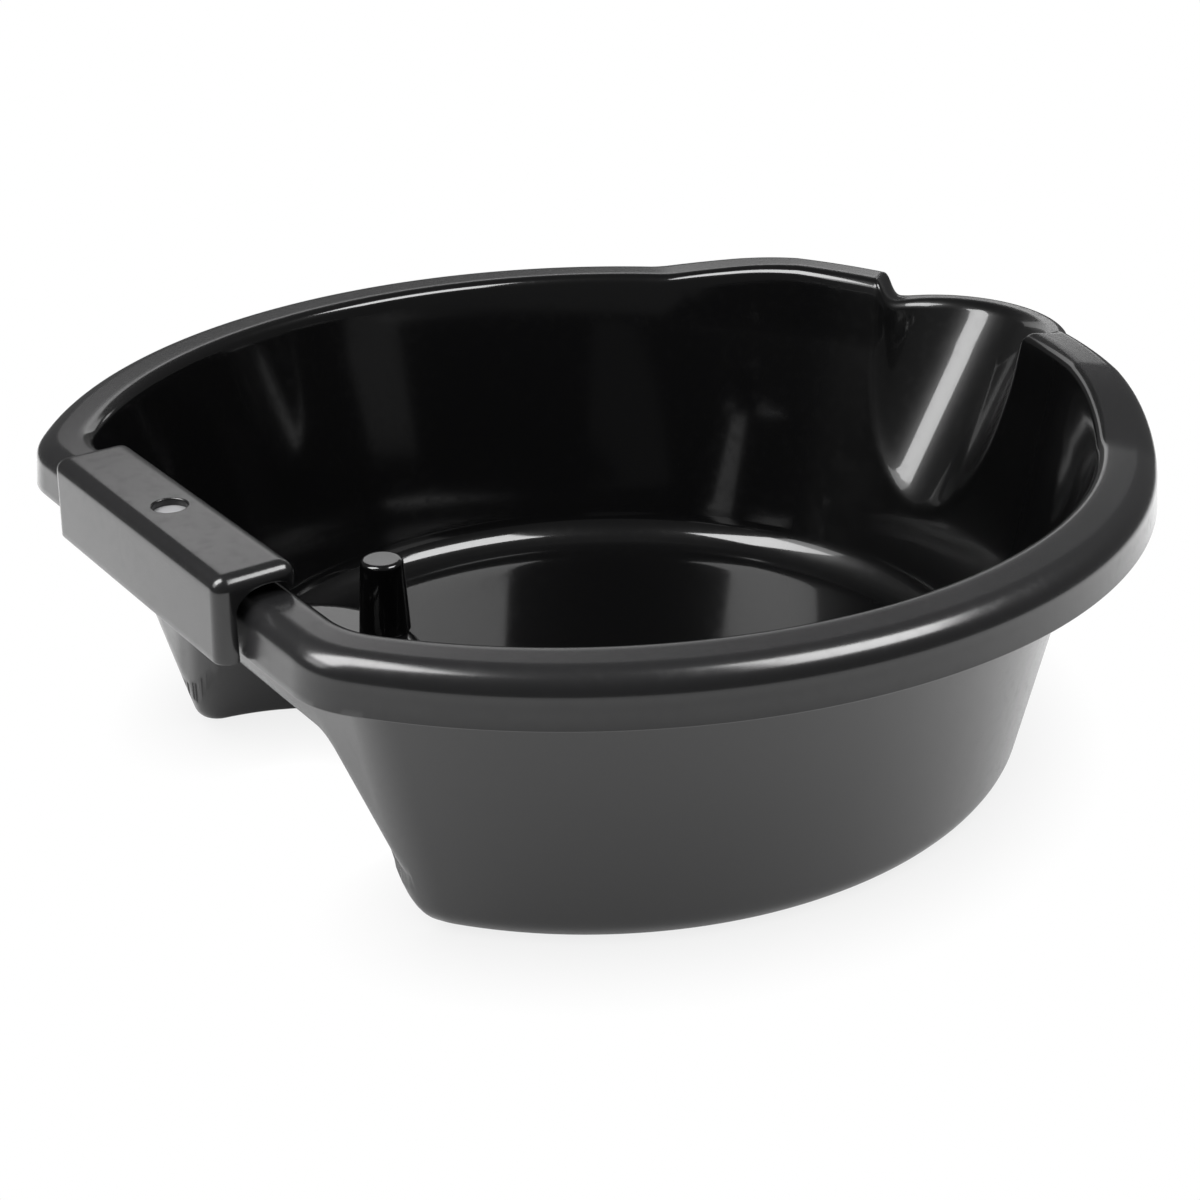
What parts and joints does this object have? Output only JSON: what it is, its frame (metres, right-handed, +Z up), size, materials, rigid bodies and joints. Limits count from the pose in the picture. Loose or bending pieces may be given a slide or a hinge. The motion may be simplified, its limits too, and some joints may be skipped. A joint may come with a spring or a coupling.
{
  "type": "oil drain pan",
  "caption": "Open oval catch basin with a rolled rim, a pouring spout, a straight carrying grip with a clip-on cover over a plug magnet, and a drip post.",
  "frame": {"origin": "middle of the flat underside, under the middle of the rim's oval", "axes": "+Z up, +X towards the pouring spout, -X towards the grip, XZ plane is the plane of symmetry"},
  "size_m": [0.4028, 0.381, 0.1275],
  "materials": {
    "pan_plastic": "glossy moulded black",
    "cover_plastic": "satin to glossy moulded black",
    "magnet": "plain grey disc",
    "post_plastic": "glossy moulded black"
  },
  "bodies": {
    "root": {"pan_body": "pan_plastic", "grip_cover": "cover_plastic", "plug_magnet": "magnet", "drip_post": "post_plastic"}
  },
  "joints": []
}
